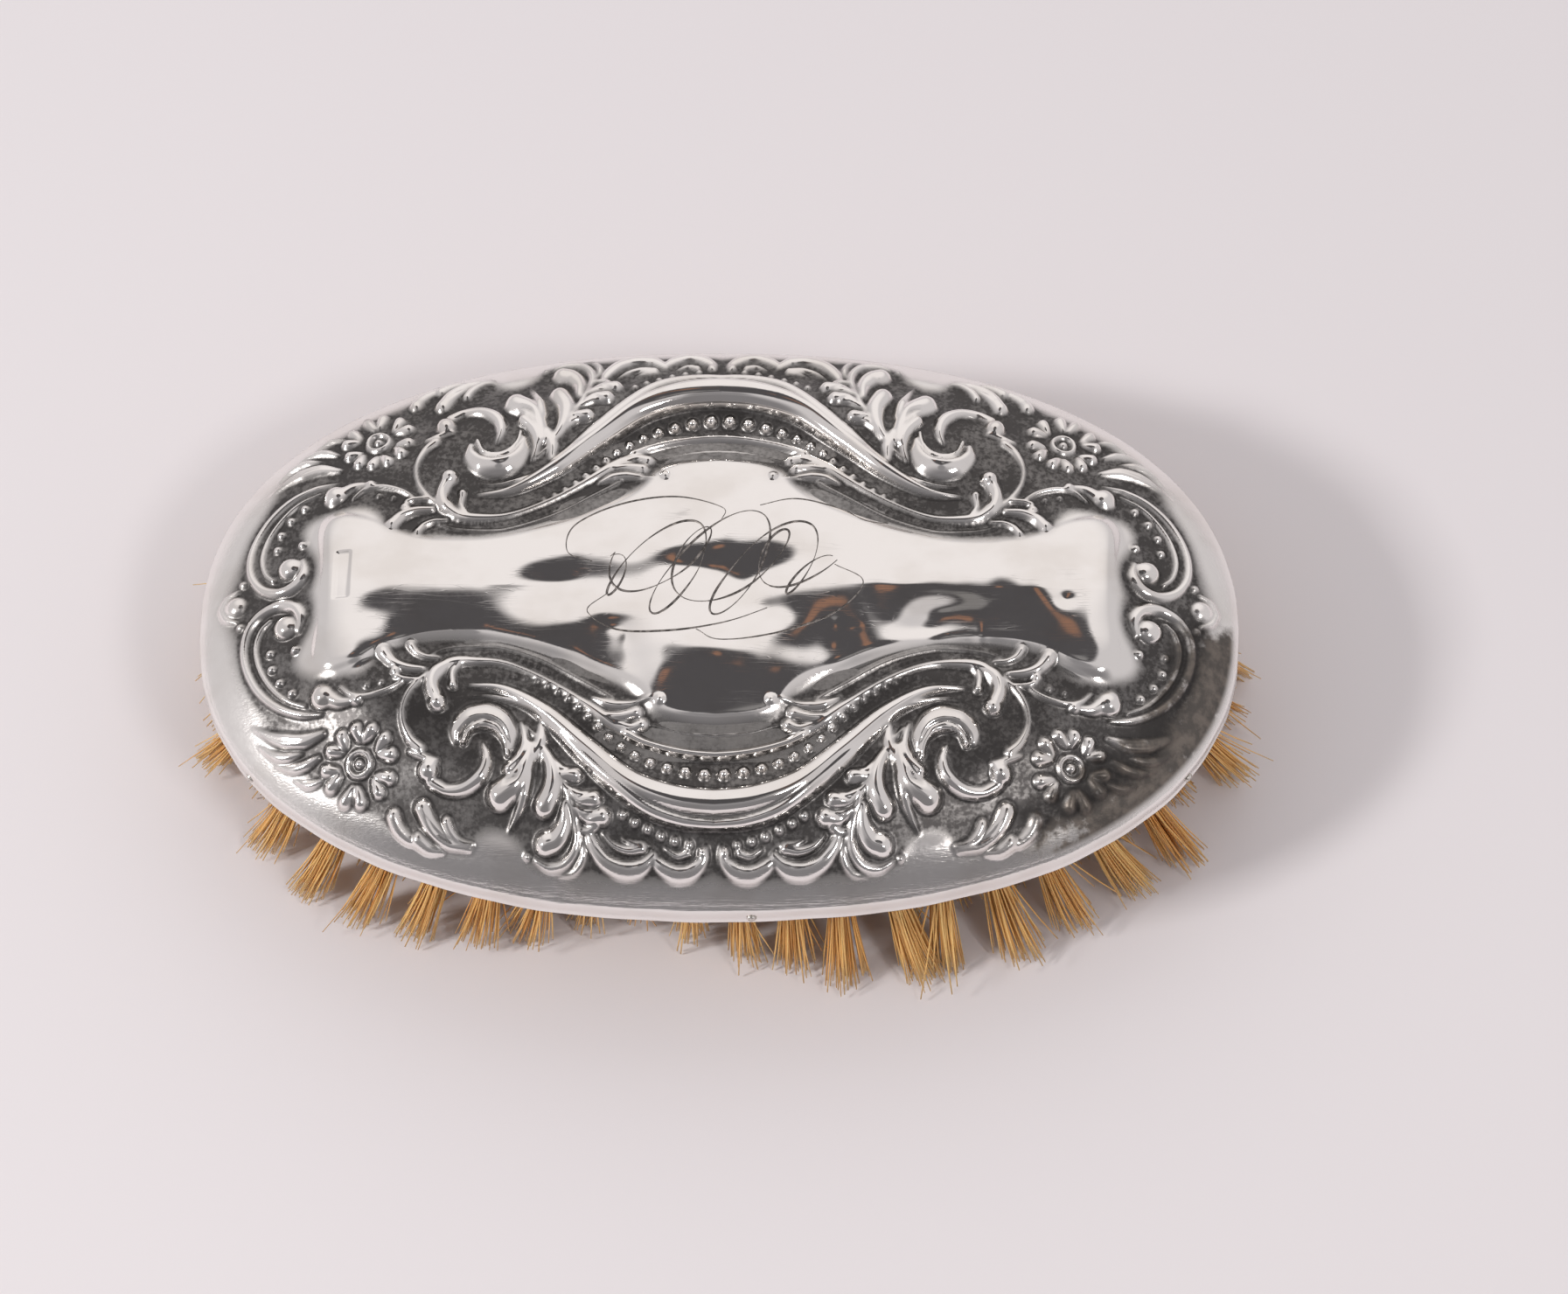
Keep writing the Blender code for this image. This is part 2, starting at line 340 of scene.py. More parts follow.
def draw_border(relief):
    """The long S-shaped moulding, its outer companion, and the two lines inside it."""
    relief.ridge([(-4, 27.5), (0, 27.6), (5, 27), (10, 25), (15, 20.8), (20, 16.4), (25, 13.5), (29.5, 12.9)],
                 (1.75, 1.75, 1.7, 1.55, 1.35, 1.1, 0.7, 0.15), 2, power=0.85, flat=1.6, tilt=0.28)
    relief.ridge([(-4, 30), (0, 29.9), (4, 29.5), (8, 28.1), (12, 25.2), (15.5, 22), (18.5, 18.9),
                  (22, 15.9), (26, 14.5), (29, 14.4)],
                 (0.6, 0.9, 1.1, 1.15, 1, 0.7, 0.4, 0.12), 1.6)
    relief.ridge([(-4, 21.4), (0, 21.4), (4, 21), (8, 20), (10.5, 18.9)], (0.75, 0.75, 0.75, 0.7), 1)
    relief.ridge([(-4, 19.3), (0, 19.2), (4, 18.8), (7.6, 17.8)], (0.34, 0.34, 0.2), 0.5)
    relief.beads([(1.15, 24), (4, 23.5), (8, 22.2), (12, 19.7), (15, 16.8), (18, 14.2), (21, 12.5),
                  (24.5, 11.5)], 2.3, (0.8, 0.22), 1.1)


def draw_palmette(relief):
    """Curled leaves at each end of the inner double line, and the line that runs on to the scroll."""
    relief.leaf([(12.6, 17.2), (11, 17.9), (9.8, 18.2), (8.6, 17.8)], 0.5, 0.9, 1.4)
    relief.leaf([(13, 16.6), (11.6, 16.8), (10.4, 16.7), (9.2, 16.4)], 0.5, 0.85, 1.5)
    relief.blade([(14.6, 14.5), (12.4, 15.4), (10.2, 15.4), (7.6, 14.8)], 0.3, 0.75, 1.2)
    relief.ball(6.5, 15.1, 0.6, 0.7)
    relief.ridge([(10.2, 19), (12.4, 17.5), (15.5, 15.2), (20, 12.3), (25, 10.1), (29, 9.7),
                  (31.6, 10.2), (33.3, 12)], (0.7, 1, 0.6, 0.5, 0.5, 0.6, 0.9, 1), 1.2)
    relief.ridge([(30.3, 10.2), (31.1, 11.4), (31, 12.9)], (0.4, 0.45, 0.55), 1.2)
    relief.ball(31, 13.1, 0.6, 1.4)
    relief.ridge([(12, 14.6), (15, 12.8), (20, 9.9), (25, 8.1), (28, 7.8), (32, 8.2), (34.6, 9.5)],
                 (0.36, 0.34, 0.32, 0.32, 0.25), 0.6)
    relief.beads([(19.6, 11.2), (22, 10), (25, 9), (28, 8.8), (31, 9.1), (32.8, 9.9)],
                 0.9, (0.28, 0.24), 0.45)


def draw_scroll_ends(relief):
    """Where the S-shaped moulding ends: a ball on a stem."""
    relief.ridge([(31.8, 10.2), (33.1, 11.4), (33.5, 13.2), (32.8, 15.2)], (0.7, 1, 1, 1.1), 1.7)
    relief.ball(32.7, 15.4, 1.15, 2.1)


def draw_eye(relief):
    """The large volute: a thick crescent, its hooks, its upper arm and the thin line around it."""
    relief.ridge([(23.9, 21), (24.2, 18.9), (25.5, 17.3), (27.2, 16.8), (29, 17.2), (30.3, 18.6),
                  (30.4, 20)], (0.5, 1.2, 1.65, 1.8, 1.6, 1.1, 0.5), 2.3, power=0.8, flat=1.3, tilt=0.65)
    relief.carve([(24, 20.8), (24.9, 18.8), (26, 17.95), (27.4, 17.7), (28.9, 18.2), (29.9, 19.8)],
                 (0.1, 0.16, 0.2, 0.2, 0.16, 0.1), 1)
    relief.ridge([(24.3, 22), (24.6, 20.3), (25.7, 18.9), (27.3, 18.4), (28.8, 18.9), (29.5, 20.3)],
                 (0.25, 0.32, 0.34, 0.34, 0.4), 2.4)
    relief.ridge([(27.2, 20.4), (26.7, 22.2), (27.3, 24.1), (29.2, 25.4), (31.4, 25.5), (33.2, 24.6)],
                 (0.3, 0.8, 1.05, 1, 0.8, 0.8), 1.6)
    relief.carve([(27.6, 22), (28.1, 23.4), (29.5, 24.6), (31.5, 24.9)], (0.2, 0.32, 0.15), 0.5)
    relief.ball(33.6, 23.3, 1.3, 2.1)
    relief.ridge([(32.6, 22.3), (34.4, 21.7), (35.9, 21.1)], (0.4, 0.5, 0.35), 1)
    relief.ridge([(34.6, 20.9), (35.9, 19.6), (36.8, 17.5), (36.7, 15.4), (35.8, 13.5), (34.2, 11.8),
                  (32.4, 10.4)], (0.75, 0.6, 0.42, 0.42, 0.5, 0.5, 0.45), 1.1)
    relief.ridge([(24.4, 23.6), (22.9, 21.9), (22.3, 19.9), (22.8, 17.8)], (0.4, 0.7, 0.65, 0.3), 1.2)


def draw_acanthus(relief):
    """Blades that fan out between the moulding and the volute."""
    relief.leaf([(20.6, 20.2), (19.2, 23), (18.9, 25.6), (19.8, 27.8)], 0.5, 1.45, 1.9)
    relief.blade([(21.6, 22.4), (22, 25.6), (22.7, 27.9), (24, 30.3)], 0.5, 0.8, 1.4)
    relief.leaf([(21.6, 20.8), (22.2, 23.2), (23.3, 25.2), (25, 26.5)], 0.8, 1.8, 2.4)
    relief.leaf([(22, 20.4), (22.7, 22.2), (24, 23.6)], 0.6, 0.9, 1.9)
    relief.carve([(22.6, 23.6), (23.2, 24.6), (24.4, 25.1)], (0.15, 0.35, 0.2), 0.7)
    relief.ridge([(20.4, 18), (20.4, 20), (21.2, 22)], (0.6, 1, 0.9), 1.2)


def draw_spray(relief):
    """The thin stem beside the moulding with its small leaves, and the shell curl at its head."""
    relief.ridge([(22.2, 18.2), (20, 21), (17.8, 25), (16.2, 29), (15.2, 32.2)],
                 (0.3, 0.5, 0.5, 0.45, 0.35), 0.85)
    for root, bend, tip in (((18.9, 22.4), (17.8, 24), (16.3, 24.4)),
                            ((17.2, 25.8), (15.6, 27), (14, 27.2)),
                            ((16.3, 28), (14.7, 29), (13, 29.1))):
        relief.leaf([root, bend, tip], 0.4, 1.1, 1.6)
        relief.carve([tuple(0.5 * (a + b) for a, b in zip(root, bend)), bend, (tip[0] + 0.4, tip[1] - 0.8)],
                     (0.1, 0.25, 0.12), 0.5)
    relief.leaf([(15.9, 30.4), (14.8, 30.5), (13.9, 30.1)], 0.35, 0.6, 1)
    relief.ridge([(16.6, 28.4), (16, 30.6), (16.2, 32.4), (17.4, 33.8), (19.2, 34.1), (20.8, 33.4)],
                 (0.3, 0.55, 0.7, 0.7, 0.6, 0.4), 1.1)
    relief.leaf([(17.4, 27.6), (17.5, 29.8), (18.4, 31.3), (19.6, 31.7)], 0.5, 1.5, 2)
    relief.ball(21.8, 33, 0.45, 0.8)
    relief.blade([(15.2, 31.4), (15.2, 33.2), (16.2, 34.6), (18, 34.9)], 0.3, 0.55, 0.9)


def draw_edge_volutes(relief):
    """Running shell curls along the middle of each long side, and the small beads under them."""
    relief.ridge([(7.4, 33), (6.2, 34.2), (4.2, 34.9), (2.3, 34.6), (1.1, 33.5), (0.9, 32.4)],
                 (0.3, 0.9, 1.15, 1.1, 0.8, 0.4), 1.35, power=0.8)
    relief.carve([(5.9, 33.6), (4.2, 34.1), (2.8, 33.8), (2.2, 32.9)], (0.12, 0.3, 0.3, 0.12), 0.6)
    relief.ball(1.3, 32.9, 0.6, 1.1)
    relief.leaf([(5.6, 32.5), (4.3, 33.2), (3, 32.9)], 0.25, 0.5, 1)
    relief.ridge([(14.7, 29.8), (14.2, 31.8), (12.6, 33.6), (10.4, 34.5), (8.4, 34.3), (7, 33.2)],
                 (0.35, 0.85, 1.1, 1.2, 1.1, 0.6), 1.4, power=0.8)
    relief.carve([(13.6, 31.4), (12, 33), (10.2, 33.6), (8.4, 33.5)], (0.12, 0.3, 0.3, 0.12), 0.6)
    relief.leaf([(12.9, 30.9), (11.6, 32.1), (9.9, 32.6), (8.3, 32.4)], 0.25, 0.65, 1.1)
    relief.blade([(10.6, 31.4), (9.4, 31.9), (8, 31.9), (6.9, 32.6)], 0.2, 0.4, 0.7)
    for x, y in ((2.8, 32.1), (4.5, 31.7), (6.1, 31.2), (7.7, 30.5), (9.2, 29.8), (10.6, 29)):
        relief.ball(x, y, 0.52, 0.8)


def draw_leaf_sprig(relief):
    """A sprig of broad lobes lying along the rim."""
    relief.leaf([(28.3, 31.4), (29.8, 31), (30.9, 29.9), (31.4, 28.8)], 0.35, 0.7, 1.1)
    relief.leaf([(28.6, 31.8), (31.2, 31), (33.2, 29.2), (34.3, 27.2)], 0.4, 1.15, 1.7)
    relief.leaf([(31.8, 31.8), (33.4, 31.4), (34.8, 30.4)], 0.35, 0.9, 1.35)
    relief.leaf([(34.4, 30.9), (36, 30.2), (37.2, 29), (37.7, 27.8)], 0.4, 1, 1.5)
    relief.carve([(30.6, 31), (32.4, 29.8), (33.6, 28.2)], (0.1, 0.28, 0.12), 0.5)


def draw_flower(relief):
    """A rosette of two-lobed petals round a ringed eye, and the leaves beyond it."""
    centre = Vector((41.9, 21.9))
    for degrees, length in ((18, 4.1), (80, 4.3), (140, 4.2), (204, 4), (262, 3.9), (318, 4)):
        out = Vector((math.cos(math.radians(degrees)), math.sin(math.radians(degrees))))
        side = Vector((-out.y, out.x))
        for lobe in (-0.95, 0.95):
            root = centre + 2.5 * out + 0.3 * lobe * side
            tip = centre + (length - 0.25) * out + lobe * side
            relief.leaf([tuple(root), tuple((root + tip) / 2), tuple(tip)], 0.4, 0.9, 1.4)
    ring = [(centre.x + 1.35 * math.cos(t), centre.y + 1.35 * math.sin(t))
            for t in np.linspace(0, 2 * math.pi, 13)]
    relief.ridge(ring, (0.38, 0.38), 1.1)
    relief.ball(centre.x, centre.y, 0.62, 1.1)
    relief.blade([(46.4, 18), (49, 18.5), (52, 17.8), (55.2, 15.9)], 0.5, 1, 1.3, 0.35)
    relief.blade([(46.9, 20.6), (48.6, 21.3), (50.4, 21.3), (52.2, 20.6)], 0.4, 0.7, 1.1)
    relief.blade([(49, 19.9), (51, 20), (52.8, 19.3), (54.2, 18.2)], 0.3, 0.65, 1.05)
    relief.blade([(46.4, 23.2), (48, 23.4), (49.8, 22.6)], 0.35, 0.5, 0.9)


def draw_end_scroll(relief):
    """The doubled C-scroll at each end of the plaque, its ball, beads and drop."""
    relief.ridge([(46.6, 15.9), (49.2, 15.5), (52, 14.2), (54.4, 12), (56, 9.2), (56.7, 6.4), (56.4, 3.8),
                  (55, 1.8), (52.8, 0.9), (50.8, 1.4), (49.7, 3), (50, 4.9)],
                 (0.3, 0.55, 0.6, 0.6, 0.6, 0.6, 0.6, 0.65, 0.8, 0.95, 0.9, 0.4), 1.4)
    relief.ridge([(48.6, 14.7), (51, 13.5), (53.1, 11.4), (54.6, 8.8), (55.2, 6.1), (54.7, 3.9), (53.6, 2.7)],
                 (0.25, 0.4, 0.42, 0.42, 0.35), 0.95)
    relief.ball(51.6, 4, 1.6, 1.9)
    for x, y in ((50.4, 12.7), (52, 11.1), (53.1, 9.2), (53.4, 7.1), (50.3, 7.2)):
        relief.ball(x, y, 0.62, 0.9)
    relief.ridge([(42.6, 15), (44.4, 14.9), (45.8, 14.1), (46.9, 13.4)], (0.5, 0.8, 1.1, 1.3), 1.5)
    relief.ball(46.6, 13.9, 1.5, 1.9)
    relief.ridge([(36.4, 12.2), (38.4, 13.7), (41, 14.5), (43, 14.2), (44.4, 13)],
                 (0.3, 0.4, 0.45, 0.42, 0.3), 0.95)
    relief.ball(42.3, 14.9, 0.7, 1.2)
    for x, y in ((41.2, 13.2), (39.4, 12.8)):
        relief.ball(x, y, 0.45, 0.6)
    relief.leaf([(34.6, 11), (36.6, 10.8), (38.2, 10.1), (39.3, 8.9)], 0.5, 1, 1.5)
    relief.ball(37.9, 11.3, 0.7, 1.2)
    relief.leaf([(32.8, 9.4), (34.3, 9.3), (35.5, 8.7), (36.2, 7.8)], 0.35, 0.6, 1)
    relief.leaf([(35, 12.4), (36.4, 12.5), (37.7, 12.1)], 0.35, 0.5, 1)
    relief.ridge([(60, -1.6), (59.9, 0), (59.3, 1.4), (58, 2.1)], (0.5, 0.55, 0.5, 0.35), 1)
    relief.stamp(58.2, 0, 1.5, 1.4, power=0.7)
    relief.ball(57.4, 2.9, 0.6, 0.8)


# The plaque's outline in one quarter: its long side, and then its end.
PLAQUE_SIDE = ((-2, 18.7), (0, 18.7), (5, 18.1), (8.2, 16.6), (10, 14.2), (13, 12.2), (20, 9.3), (27, 7.6),
               (33, 7.4), (38, 8.5), (42, 10.5), (45.5, 11.5))
PLAQUE_END = ((47.8, 10.9), (48.7, 8.6), (48.3, 4), (48.2, 0), (48.2, -2))


def plaque_depth(x, y):
    """How far a point of the quarter lies inside the plaque's outline, 0 outside it."""
    line, _ = smooth_path(PLAQUE_SIDE + PLAQUE_END, step=0.4)
    flat_x, flat_y = x.ravel(), y.ravel()
    nearest = np.full(flat_x.shape, 1e9)
    for px, py in line:
        nearest = np.minimum(nearest, (flat_x - px) ** 2 + (flat_y - py) ** 2)
    corner = int(np.argmax(line[:, 0]))
    limit = np.interp(flat_x, line[:corner + 1, 0], line[:corner + 1, 1])
    inside = (flat_y < limit) & (flat_x < PLAQUE_HALF_LENGTH)
    return np.where(inside, np.sqrt(nearest), 0.0).reshape(x.shape)


def blur(field, sigma):
    """Gaussian blur of a quarter map, mirrored at its edges."""
    count = int(math.ceil(2.5 * sigma / CELL))
    weights = np.exp(-0.5 * (np.arange(-count, count + 1) * CELL / sigma) ** 2)
    weights /= weights.sum()
    for axis in (0, 1):
        padding = [(0, 0), (0, 0)]
        padding[axis] = (count, count)
        padded = np.pad(field, padding, mode="reflect")
        size = field.shape[axis]
        total = np.zeros_like(field)
        for i, weight in enumerate(weights):
            cells = [slice(None), slice(None)]
            cells[axis] = slice(i, i + size)
            total += weight * padded[tuple(cells)]
        field = total
    return field


class QuarterMaps:
    """Named maps of one quarter, which can be read anywhere on the oval."""

    def __init__(self, low, fields):
        self.low = low
        self.fields = fields

    def read(self, name, x, y):
        """Bilinear reading of one map."""
        field = self.fields[name]
        u = (np.abs(x) - self.low[0]) / CELL
        v = (np.abs(y) - self.low[1]) / CELL
        i = np.clip(np.floor(u).astype(int), 0, field.shape[0] - 2)
        j = np.clip(np.floor(v).astype(int), 0, field.shape[1] - 2)
        s, t = np.clip(u - i, 0, 1), np.clip(v - j, 0, 1)
        near = field[i, j] * (1 - s) + field[i + 1, j] * s
        far = field[i, j + 1] * (1 - s) + field[i + 1, j + 1] * s
        return near * (1 - t) + far * t

    def height(self, x, y):
        """Height of the silver's outer face without its raised ornament."""
        return self.read("ground", x, y) - dents(x, y)

    def surface(self, x, y):
        """Points of the silver's outer face. Raised ornament stands out along the ground's normal."""
        ground = self.height(x, y)
        step = 0.4
        slope_x = (self.read("soft", x + step, y) - self.read("soft", x - step, y)) / (2 * step)
        slope_y = (self.read("soft", x, y + step) - self.read("soft", x, y - step)) / (2 * step)
        lift = self.read("raised", x, y) / np.sqrt(slope_x ** 2 + slope_y ** 2 + 1)
        return np.stack((x - slope_x * lift, y - slope_y * lift, ground + lift), axis=-1)


def build_quarter():
    """Maps of the quarter: ground, soft ground, raised ornament, oxide in the recesses, plaque share."""
    relief = Relief()
    for draw in (draw_palmette, draw_scroll_ends, draw_eye, draw_acanthus, draw_spray, draw_edge_volutes,
                 draw_leaf_sprig, draw_flower, draw_end_scroll):
        draw(relief)
    relief.raised *= ORNAMENT_RISE
    relief.cut *= ORNAMENT_RISE
    draw_border(relief)
    raised = np.maximum(relief.raised - relief.cut, 0.0)
    raised = blur(raised, 0.12)
    x, y = np.abs(relief.x), np.abs(relief.y)
    share = oval_share(x, y)
    plaque = blur(smoothstep(0.0, PLAQUE_EDGE, plaque_depth(x, y)), 0.4)
    near = smoothstep(0.05, 0.25, blur((raised > 0.12).astype(float), 2.2))
    field = smoothstep(0.4, 0.95, blur(near, 1.1)) * (1 - plaque) * (1 - smoothstep(0.9, 0.965, share))
    sink = FIELD_SINK * (1 - plaque) * (1 - smoothstep(0.8, 0.97, share))
    bed = BED_DEPTH * np.exp(-((y - (BED_Y - BED_BEND * x ** 2)) / BED_WIDTH) ** 2)
    bed = bed * np.exp(-(x / BED_REACH) ** 4)
    side_x, side_y = np.array(PLAQUE_SIDE[1:]).T
    from_side = np.clip((np.interp(x, side_x, side_y) - y) / BULGE_REACH, 0, 1) * smoothstep(52, 44, x)
    bulge = blur(PLAQUE_BULGE * (1 - (1 - from_side) ** 2), 1.6)
    ground = monotone_curve(CROWN, share) - sink - bed * (1 - plaque) + bulge - PLAQUE_DROP * plaque
    crease = np.clip((blur(raised, 0.5) - raised) / 0.24, 0, 1)
    low = 1 - smoothstep(0.12, 0.5, raised)
    oxide = np.clip(field * low * 1.05 + 0.8 * crease * np.maximum(field, 0.3), 0, 1)
    return QuarterMaps(relief.low, {"ground": ground, "soft": blur(ground, 1.2), "raised": raised,
                                    "oxide": blur(oxide, 0.1), "plaque": plaque})


def dents(x, y):
    """Depth of the knocks that the thin silver has taken, and of the blank punch.

    A knock is (x, y, its reach along X and along Y, its depth), and swells if its depth is negative.
    """
    random = np.random.default_rng(SEED)
    wide = [(-18, -0.5, 10, 4.4, 0.85), (3, -0.5, 4, 4.2, 0.5), (30, -4.2, 11, 4.4, 0.6),
            (42, 0.5, 3, 3.2, 0.28), (-36, -7, 5, 3, 0.15), (14, 3.8, 4, 2.2, 0.3), (-6, 7.5, 4, 2.4, 0.25),
            (9, -8, 4, 2.5, 0.25), (-12, -6.5, 4, 2.4, 0.25), (22, 3, 3, 2, 0.12), (35, 5.5, 1.2, 0.9, 0.12),
            (41.5, -1.5, 1, 0.8, 0.12), (-30, 3, 4, 2, 0.15), (-42, 2, 2.5, 2, 0.12),
            (-41, -13.5, 10, 7, -1.35), (22, -11, 5, 4, -0.4), (-4, 2.5, 3.4, 2.4, 0.3),
            (6, -3.5, 3, 2.2, 0.32), (-1, -9, 5, 3, -0.3), (47, -8, 3, 3, -0.3)]
    small = []
    for _ in range(SMALL_DENTS):
        cx = random.uniform(-47, 47)
        cy = random.uniform(-11, 11)
        radius = random.uniform(0.7, 3.2)
        deep = random.uniform(0.02, 0.075) * radius
        stretch = random.uniform(0.6, 1.6)
        small.append((cx, cy, radius * stretch, radius / stretch, deep))
    rim = [(-18, -36.4, 1.6, 1.4, 0.35), (-30, -31, 8, 3, 0.25), (8, -36, 10, 2, 0.15),
           (40, -28, 5, 2.5, 0.25), (55, 12, 3, 6, 0.2), (-56, 12, 3, 5, 0.25), (-48, -20, 4, 3, 0.2)]
    depth = np.zeros_like(x)
    for cx, cy, rx, ry, deep in wide + small + rim:
        depth += deep * np.exp(-((x - cx) / rx) ** 2 - ((y - cy) / ry) ** 2)
    punch = [smoothstep(0, PUNCH_EDGE, half - np.abs(place - centre))
             for half, place, centre in zip(PUNCH_HALF_SIZE, (x, y), PUNCH_CENTRE)]
    return depth + PUNCH_DEPTH * punch[0] * punch[1]


def build_silver(maps, material):
    """The stamped back: a dense outer face, the turned-in edge, and the plain inner face."""
    u, v = np.meshgrid(np.linspace(-1, 1, GRID_ALONG + 1), np.linspace(-1, 1, GRID_ACROSS + 1), indexing="ij")
    disc_x = u * np.sqrt(1 - v ** 2 / 2)
    disc_y = v * np.sqrt(1 - u ** 2 / 2)
    reach = oval_reach(np.arctan2(disc_y, disc_x))
    x = ((HALF_LENGTH - EDGE_ROUND) * disc_x * reach).ravel()
    y = ((HALF_WIDTH - EDGE_ROUND) * disc_y * reach).ravel()
    top = maps.surface(x, y)
    number = np.arange(len(top)).reshape(u.shape)
    quads = np.stack((number[:-1, :-1], number[1:, :-1], number[1:, 1:], number[:-1, 1:]), axis=-1)
    loop = np.concatenate((number[:-1, 0], number[-1, :-1], number[:0:-1, -1], number[0, :0:-1]))
    edge = top[loop]
    angle = np.arctan2(edge[:, 1] / HALF_WIDTH, edge[:, 0] / HALF_LENGTH)
    outline = oval_outline(angle)
    outwards = oval_normal(outline[:, 0], outline[:, 1])
    bottom = BACK_LOW.z
    shoulder = edge[:, 2]
    # The wall was dressed over the block by hand, so it is not quite even.
    wobble = 0.06 * np.sin(7 * angle + 1) + 0.05 * np.sin(19 * angle) + 0.03 * np.sin(43 * angle + 2)
    wall = [(-0.2, shoulder - 0.16), (-0.06, shoulder - 0.4), (0.0, shoulder - 0.75),
            (-0.05, bottom + 1.1), (-0.02, bottom + 0.55), (0.1, bottom + 0.34), (0.12, bottom + 0.2),
            (0.04, bottom + 0.06), (-0.12, bottom), (-0.3, bottom + 0.02), (-0.45, bottom + 0.16),
            (-0.45, bottom + 0.6), (-0.42, bottom + 1.4)]
    rings = []
    for outset, height in wall:
        place = outline + outwards * (outset + wobble * smoothstep(0, 1.2, shoulder - height))[:, None]
        rings.append(np.column_stack((place, np.broadcast_to(height, shoulder.shape))))
    for inset in (0.975, 0.95, 0.9, 0.85, 0.8, 0.72, 0.6, 0.45, 0.3, 0.15, 0.05):
        inner = outline * inset
        rings.append(np.column_stack((inner, maps.height(inner[:, 0], inner[:, 1]) - WALL)))
    points = np.concatenate((top, *rings))
    loops = [loop, *number_loops(len(top), len(rings), len(loop))]

    def spread(name, inner_value):
        """A map's values on the outer face, nothing on the wall, and inner_value inside."""
        values = np.full(len(points), inner_value)
        values[:len(top)] = maps.read(name, x, y)
        values[len(top):len(top) + len(wall) * len(loop)] = 0.0
        return values

    share = np.ones(len(points))
    share[:len(top)] = oval_share(x, y)
    turn = np.degrees(np.arctan2(points[:, 1] / HALF_WIDTH, points[:, 0] / HALF_LENGTH))
    stain = smoothstep(*STAIN_COMES, turn) * smoothstep(*STAIN_GOES, turn) * smoothstep(*STAIN_SHARE, share)
    back = make_mesh("stamped_silver_back", points,
                     [quads.reshape(-1, 4), ring_faces(loops)[:, ::-1], loops[-1][None, :]], material,
                     {"oxide": spread("oxide", 0.8), "plaque": spread("plaque", 0.0), "rim": share,
                      "stain": stain})
    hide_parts("silver_back")
    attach(back, "root")


def flourish_lines():
    """A generic looped ornament of two coils that cross, and tails: (points, widest half width, strokes)."""
    lines = []
    for way, turns, tall, shift in ((1, 4, 7.2, 0.0), (-1, 3, 5.2, 0.5)):
        t = np.linspace(0.02, 0.98, 40 * turns)
        swell = np.sin(math.pi * t) ** 0.6
        y = tall * swell * np.cos(2 * math.pi * turns * t + shift)
        x = way * (28 * t - 14) + 3.6 * swell * np.sin(2 * math.pi * turns * t + shift) + 0.55 * y
        lines.append((np.column_stack((x, y + 2.6)), 0.15, 2 * turns))
    tails = (([(-15, 3.0), (-18, 4.4), (-17.2, 8.2), (-12, 11), (-5, 11.8), (0.5, 10.2), (0.4, 8.4)], 0.12),
             ([(-13, -1.2), (-15.4, -3.6), (-12, -6), (-6, -6.6), (0, -5.6), (6, -3.2)], 0.13),
             ([(14, 2.6), (17.4, 0.2), (14.4, -3.6), (8, -6.4), (0.6, -7.8), (-2.4, -6.4)], 0.12),
             ([(5, 10.6), (9.4, 11.8), (14.4, 11.0), (17.6, 9.2), (20.4, 9.0)], 0.1))
    return lines + [(points, widest, 1) for points, widest in tails]


def build_flourish(maps, material):
    """The engraved ornament on the plaque: shallow V cuts with a slight burr along each lip."""
    points, faces = [], []
    start = 0
    for line, widest, strokes in flourish_lines():
        line, along = smooth_path(line, step=0.2)
        width = HAIRLINE + (widest - HAIRLINE) * np.sin(math.pi * strokes * along) ** 2
        run = np.gradient(line, axis=0)
        run /= np.linalg.norm(run, axis=1)[:, None]
        side = np.stack((-run[:, 1], run[:, 0]), axis=1)
        rings = []
        for offset, lift in ((-1.0, 0.03), (0.0, 0.012), (1.0, 0.03), (0.0, -0.2)):
            place = line + side * (offset * width)[:, None]
            rings.append(np.column_stack((place, maps.height(place[:, 0], place[:, 1]) + lift)))
        points.append(np.stack(rings, axis=1).reshape(-1, 3))
        loops = number_loops(start, len(line), 4)
        faces.append(ring_faces(loops)[:, ::-1])
        faces.append(np.stack((loops[0], loops[-1][::-1])))
        start += 4 * len(line)
    flourish = make_mesh("engraved_flourish", np.concatenate(points), faces, material, smooth=False)
    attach(flourish, "root")


def build_pin(node, material):
    """A fine pin with a domed, slightly battered head, turned about the CAD pin's axis."""
    low, high = node_box(node)
    centre = (low + high) / 2
    away = Vector((*oval_normal(centre.x, centre.y), 0))
    side = away.cross(Vector((0, 0, 1)))
    radius = (high.z - low.z) / 2
    profile = [(0.04, -1.28), (0.6, -1.0), (0.95, -0.6), (0.95, 1.1), (1.45, 1.16), (1.5, 1.24),
               (1.25, 1.36), (0.85, 1.44), (0.4, 1.48), (0.05, 1.49)]
    count = 24
    turn = 2 * math.pi * np.arange(count) / count
    points = []
    for share, along in profile:
        spread = radius * share * (1 + 0.04 * np.sin(3 * turn))
        points.append(np.array(centre + along * away) + np.outer(spread * np.cos(turn), side)
                      + np.outer(spread * np.sin(turn), (0, 0, 1)))
    loops = number_loops(0, len(profile), count)
    faces = [ring_faces(loops), loops[0][None, ::-1], loops[-1][None, :]]
    pin = make_mesh(node.replace("rim_pin", "domed_pin"), np.concatenate(points), faces, material)
    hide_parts(node)
    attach(pin, "root")


